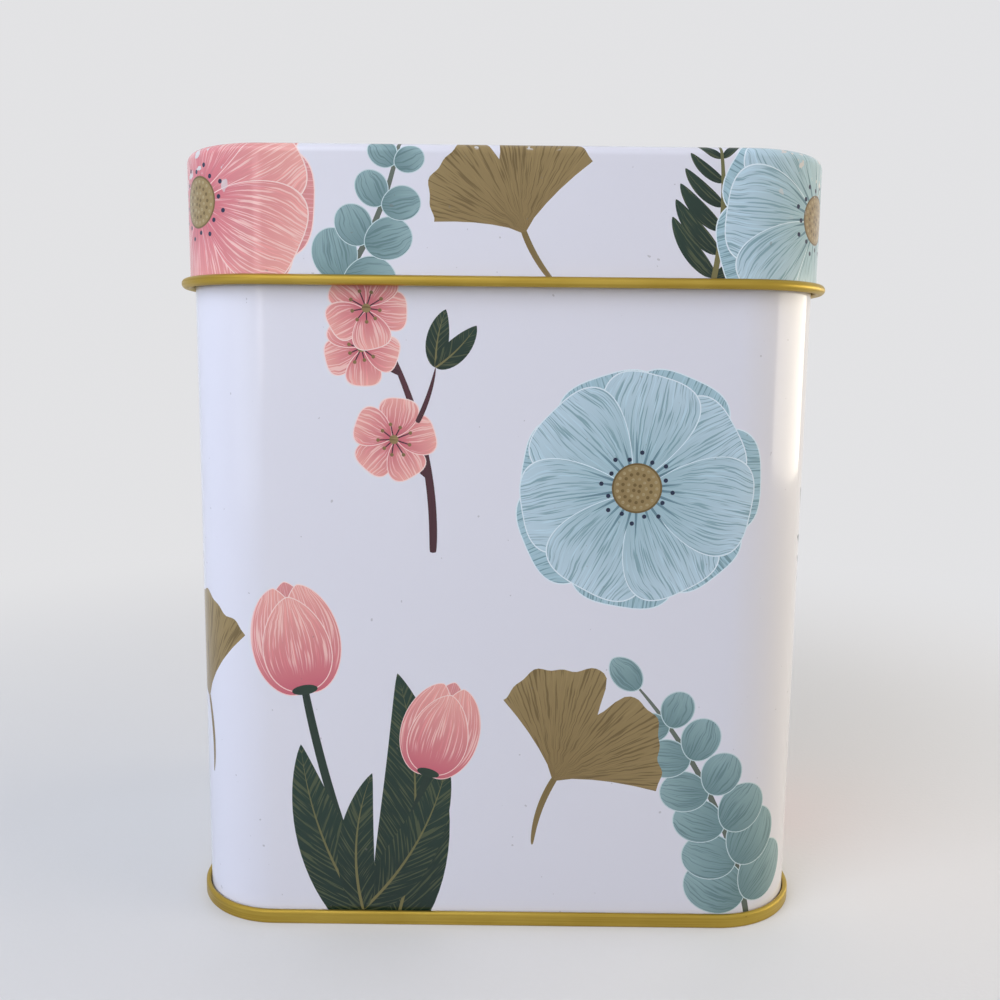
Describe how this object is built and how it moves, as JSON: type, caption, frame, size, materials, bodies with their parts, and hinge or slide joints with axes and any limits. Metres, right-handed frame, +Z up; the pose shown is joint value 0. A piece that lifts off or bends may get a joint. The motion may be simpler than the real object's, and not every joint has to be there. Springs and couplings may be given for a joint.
{
  "type": "recipe box",
  "caption": "Tall rounded rectangular tin box with a slip-over lid, rolled gold lid bead and double-seamed gold base, holding upright recipe cards behind tabbed dividers.",
  "frame": {"origin": "middle of the seam ring that the box stands on, at the lowest plane", "axes": "+Z up, the front faces -Y, +X to the viewer's right"},
  "size_m": [0.1388, 0.1028, 0.164],
  "materials": {
    "printed_tinplate": "white lithographed tinplate with a coloured floral print under a satin varnish",
    "gold_tinplate": "gold-lacquered tinplate, satin",
    "card_stock": "uncoated heavy card",
    "divider_stock": "uncoated board"
  },
  "bodies": {
    "box": {"body_shell": "printed_tinplate", "base_plate": "gold_tinplate"},
    "lid": {"lid_shell": "printed_tinplate"},
    "divider_1": {"divider_1": "divider_stock"},
    "divider_2": {"divider_2": "divider_stock"},
    "divider_3": {"divider_3": "divider_stock"},
    "divider_4": {"divider_4": "divider_stock"},
    "divider_5": {"divider_5": "divider_stock"},
    "divider_6": {"divider_6": "divider_stock"},
    "recipe_card_1": {"recipe_card_1": "card_stock"},
    "recipe_card_2": {"recipe_card_2": "card_stock"},
    "recipe_card_3": {"recipe_card_3": "card_stock"},
    "recipe_card_4": {"recipe_card_4": "card_stock"},
    "recipe_card_5": {"recipe_card_5": "card_stock"},
    "recipe_card_6": {"recipe_card_6": "card_stock"},
    "recipe_card_7": {"recipe_card_7": "card_stock"},
    "recipe_card_8": {"recipe_card_8": "card_stock"},
    "recipe_card_9": {"recipe_card_9": "card_stock"},
    "recipe_card_10": {"recipe_card_10": "card_stock"},
    "recipe_card_11": {"recipe_card_11": "card_stock"},
    "recipe_card_12": {"recipe_card_12": "card_stock"},
    "recipe_card_13": {"recipe_card_13": "card_stock"},
    "recipe_card_14": {"recipe_card_14": "card_stock"},
    "recipe_card_15": {"recipe_card_15": "card_stock"},
    "recipe_card_16": {"recipe_card_16": "card_stock"},
    "recipe_card_17": {"recipe_card_17": "card_stock"},
    "recipe_card_18": {"recipe_card_18": "card_stock"}
  },
  "joints": [
    {"name": "lid_lift", "type": "slide", "parent": "box", "child": "lid", "axis": [0, 0, 1], "range_m": [0, 0.1]},
    {"name": "divider_1_lean", "type": "hinge", "parent": "box", "child": "divider_1", "pos_m": [0, 0.01908, 0.00404], "axis": [1, 0, 0], "range_deg": [0, 28]},
    {"name": "divider_2_lean", "type": "hinge", "parent": "box", "child": "divider_2", "pos_m": [0, 0.02209, 0.00404], "axis": [1, 0, 0], "range_deg": [0, 28]},
    {"name": "divider_3_lean", "type": "hinge", "parent": "box", "child": "divider_3", "pos_m": [0, 0.0251, 0.00404], "axis": [1, 0, 0], "range_deg": [0, 28]},
    {"name": "divider_4_lean", "type": "hinge", "parent": "box", "child": "divider_4", "pos_m": [0, 0.02811, 0.00404], "axis": [1, 0, 0], "range_deg": [0, 28]},
    {"name": "divider_5_lean", "type": "hinge", "parent": "box", "child": "divider_5", "pos_m": [0, 0.03111, 0.00404], "axis": [1, 0, 0], "range_deg": [0, 28]},
    {"name": "divider_6_lean", "type": "hinge", "parent": "box", "child": "divider_6", "pos_m": [0, 0.03412, 0.00404], "axis": [1, 0, 0], "range_deg": [0, 28]},
    {"name": "recipe_card_1_lean", "type": "hinge", "parent": "box", "child": "recipe_card_1", "pos_m": [0, 0.01989, 0.00404], "axis": [1, 0, 0], "range_deg": [0, 28]},
    {"name": "recipe_card_2_lean", "type": "hinge", "parent": "box", "child": "recipe_card_2", "pos_m": [0, 0.02059, 0.00404], "axis": [1, 0, 0], "range_deg": [0, 28]},
    {"name": "recipe_card_3_lean", "type": "hinge", "parent": "box", "child": "recipe_card_3", "pos_m": [0, 0.02129, 0.00404], "axis": [1, 0, 0], "range_deg": [0, 28]},
    {"name": "recipe_card_4_lean", "type": "hinge", "parent": "box", "child": "recipe_card_4", "pos_m": [0, 0.02289, 0.00404], "axis": [1, 0, 0], "range_deg": [0, 28]},
    {"name": "recipe_card_5_lean", "type": "hinge", "parent": "box", "child": "recipe_card_5", "pos_m": [0, 0.0236, 0.00404], "axis": [1, 0, 0], "range_deg": [0, 28]},
    {"name": "recipe_card_6_lean", "type": "hinge", "parent": "box", "child": "recipe_card_6", "pos_m": [0, 0.0243, 0.00404], "axis": [1, 0, 0], "range_deg": [0, 28]},
    {"name": "recipe_card_7_lean", "type": "hinge", "parent": "box", "child": "recipe_card_7", "pos_m": [0, 0.0259, 0.00404], "axis": [1, 0, 0], "range_deg": [0, 28]},
    {"name": "recipe_card_8_lean", "type": "hinge", "parent": "box", "child": "recipe_card_8", "pos_m": [0, 0.0266, 0.00404], "axis": [1, 0, 0], "range_deg": [0, 28]},
    {"name": "recipe_card_9_lean", "type": "hinge", "parent": "box", "child": "recipe_card_9", "pos_m": [0, 0.0273, 0.00404], "axis": [1, 0, 0], "range_deg": [0, 28]},
    {"name": "recipe_card_10_lean", "type": "hinge", "parent": "box", "child": "recipe_card_10", "pos_m": [0, 0.02891, 0.00404], "axis": [1, 0, 0], "range_deg": [0, 28]},
    {"name": "recipe_card_11_lean", "type": "hinge", "parent": "box", "child": "recipe_card_11", "pos_m": [0, 0.02961, 0.00404], "axis": [1, 0, 0], "range_deg": [0, 28]},
    {"name": "recipe_card_12_lean", "type": "hinge", "parent": "box", "child": "recipe_card_12", "pos_m": [0, 0.03031, 0.00404], "axis": [1, 0, 0], "range_deg": [0, 28]},
    {"name": "recipe_card_13_lean", "type": "hinge", "parent": "box", "child": "recipe_card_13", "pos_m": [0, 0.03192, 0.00404], "axis": [1, 0, 0], "range_deg": [0, 28]},
    {"name": "recipe_card_14_lean", "type": "hinge", "parent": "box", "child": "recipe_card_14", "pos_m": [0, 0.03262, 0.00404], "axis": [1, 0, 0], "range_deg": [0, 28]},
    {"name": "recipe_card_15_lean", "type": "hinge", "parent": "box", "child": "recipe_card_15", "pos_m": [0, 0.03332, 0.00404], "axis": [1, 0, 0], "range_deg": [0, 28]},
    {"name": "recipe_card_16_lean", "type": "hinge", "parent": "box", "child": "recipe_card_16", "pos_m": [0, 0.03492, 0.00404], "axis": [1, 0, 0], "range_deg": [0, 28]},
    {"name": "recipe_card_17_lean", "type": "hinge", "parent": "box", "child": "recipe_card_17", "pos_m": [0, 0.03562, 0.00404], "axis": [1, 0, 0], "range_deg": [0, 28]},
    {"name": "recipe_card_18_lean", "type": "hinge", "parent": "box", "child": "recipe_card_18", "pos_m": [0, 0.03633, 0.00404], "axis": [1, 0, 0], "range_deg": [0, 28]}
  ],
  "couplings": [
    {"joint": "divider_2_lean", "follows": "divider_1_lean", "ratio": 1},
    {"joint": "divider_3_lean", "follows": "divider_1_lean", "ratio": 1},
    {"joint": "divider_4_lean", "follows": "divider_1_lean", "ratio": 1},
    {"joint": "divider_5_lean", "follows": "divider_1_lean", "ratio": 1},
    {"joint": "divider_6_lean", "follows": "divider_1_lean", "ratio": 1},
    {"joint": "recipe_card_1_lean", "follows": "divider_1_lean", "ratio": 1},
    {"joint": "recipe_card_2_lean", "follows": "divider_1_lean", "ratio": 1},
    {"joint": "recipe_card_3_lean", "follows": "divider_1_lean", "ratio": 1},
    {"joint": "recipe_card_4_lean", "follows": "divider_1_lean", "ratio": 1},
    {"joint": "recipe_card_5_lean", "follows": "divider_1_lean", "ratio": 1},
    {"joint": "recipe_card_6_lean", "follows": "divider_1_lean", "ratio": 1},
    {"joint": "recipe_card_7_lean", "follows": "divider_1_lean", "ratio": 1},
    {"joint": "recipe_card_8_lean", "follows": "divider_1_lean", "ratio": 1},
    {"joint": "recipe_card_9_lean", "follows": "divider_1_lean", "ratio": 1},
    {"joint": "recipe_card_10_lean", "follows": "divider_1_lean", "ratio": 1},
    {"joint": "recipe_card_11_lean", "follows": "divider_1_lean", "ratio": 1},
    {"joint": "recipe_card_12_lean", "follows": "divider_1_lean", "ratio": 1},
    {"joint": "recipe_card_13_lean", "follows": "divider_1_lean", "ratio": 1},
    {"joint": "recipe_card_14_lean", "follows": "divider_1_lean", "ratio": 1},
    {"joint": "recipe_card_15_lean", "follows": "divider_1_lean", "ratio": 1},
    {"joint": "recipe_card_16_lean", "follows": "divider_1_lean", "ratio": 1},
    {"joint": "recipe_card_17_lean", "follows": "divider_1_lean", "ratio": 1},
    {"joint": "recipe_card_18_lean", "follows": "divider_1_lean", "ratio": 1}
  ]
}
